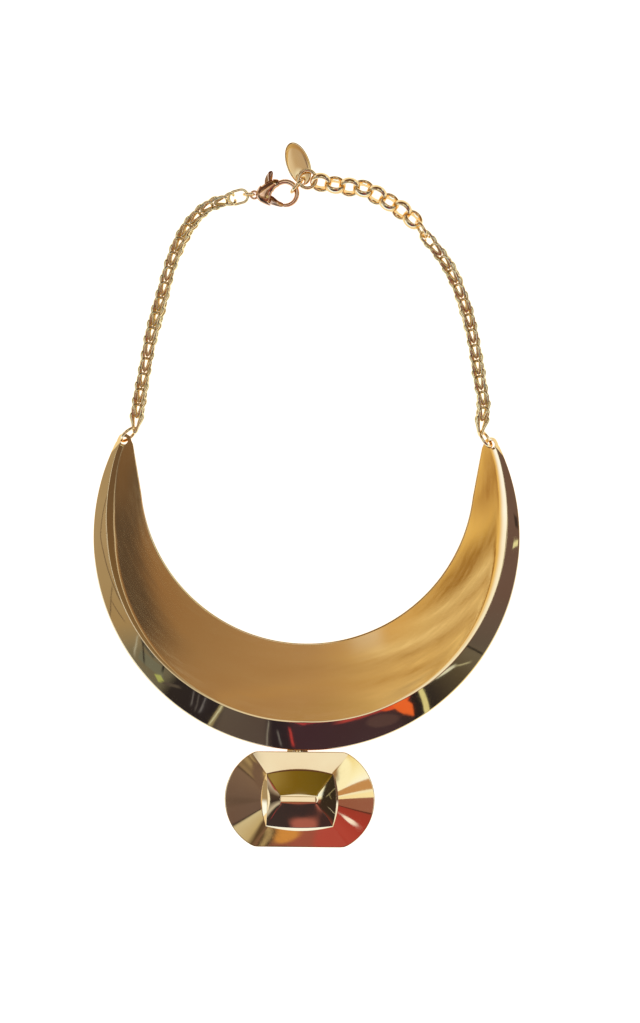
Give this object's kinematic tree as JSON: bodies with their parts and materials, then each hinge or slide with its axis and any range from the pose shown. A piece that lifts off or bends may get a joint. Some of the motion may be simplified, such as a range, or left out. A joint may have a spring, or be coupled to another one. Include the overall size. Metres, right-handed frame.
{
  "type": "choker_necklace",
  "caption": "Polished gold-coloured crescent collar with a hinged drop plaque, wheat chains, a lobster clasp and a ring extender",
  "frame": {"origin": "middle of the object's bounding box in X and Y, on the surface it lies on", "axes": "+X to the wearer's left as seen from the front (right in the picture), +Y from the plaque to the clasp, +Z out of the front face towards the camera"},
  "size_m": [0.149, 0.2467, 0.0082],
  "materials": {
    "gold_plate": "polished gold-coloured plating",
    "gold_cushion": "polished gold-coloured plating",
    "gold_wire": "polished gold-coloured plating",
    "gold_ring": "polished gold-coloured plating",
    "gold_clasp": "polished gold-coloured plating",
    "gold_pin": "polished gold-coloured plating"
  },
  "bodies": {
    "collar": {"crescent": "gold_plate", "hinge_pin": "gold_pin", "horn_ring_left": "gold_ring", "horn_ring_right": "gold_ring", "chain_left": "gold_wire", "chain_right": "gold_wire", "clasp_link": "gold_ring", "clasp_ring": "gold_ring", "clasp_body": "gold_clasp", "clasp_pin": "gold_pin", "tag_ring": "gold_ring", "tag": "gold_plate", "end_ring": "gold_ring", "chain_ring": "gold_ring", "extender_link_1": "gold_ring", "extender_link_2": "gold_ring", "extender_link_3": "gold_ring", "extender_link_4": "gold_ring", "extender_link_5": "gold_ring", "extender_link_6": "gold_ring", "extender_link_7": "gold_ring", "extender_link_8": "gold_ring"},
    "plaque": {"pendant_plate": "gold_plate", "pendant_cushion": "gold_cushion"},
    "lever": {"clasp_lever": "gold_clasp"}
  },
  "joints": [
    {"name": "plaque_hinge", "type": "hinge", "parent": "collar", "child": "plaque", "pos_m": [-0.0024, -0.08545, 0.00115], "axis": [1, 0, 0], "range_deg": [-3, 90]},
    {"name": "lever_hinge", "type": "hinge", "parent": "collar", "child": "lever", "pos_m": [-0.0149, 0.10395, 0.0023], "axis": [0, 0, 1], "range_deg": [0, 25], "stiffness_Nm_per_rad": 0.001, "springref_deg": -20.05}
  ]
}
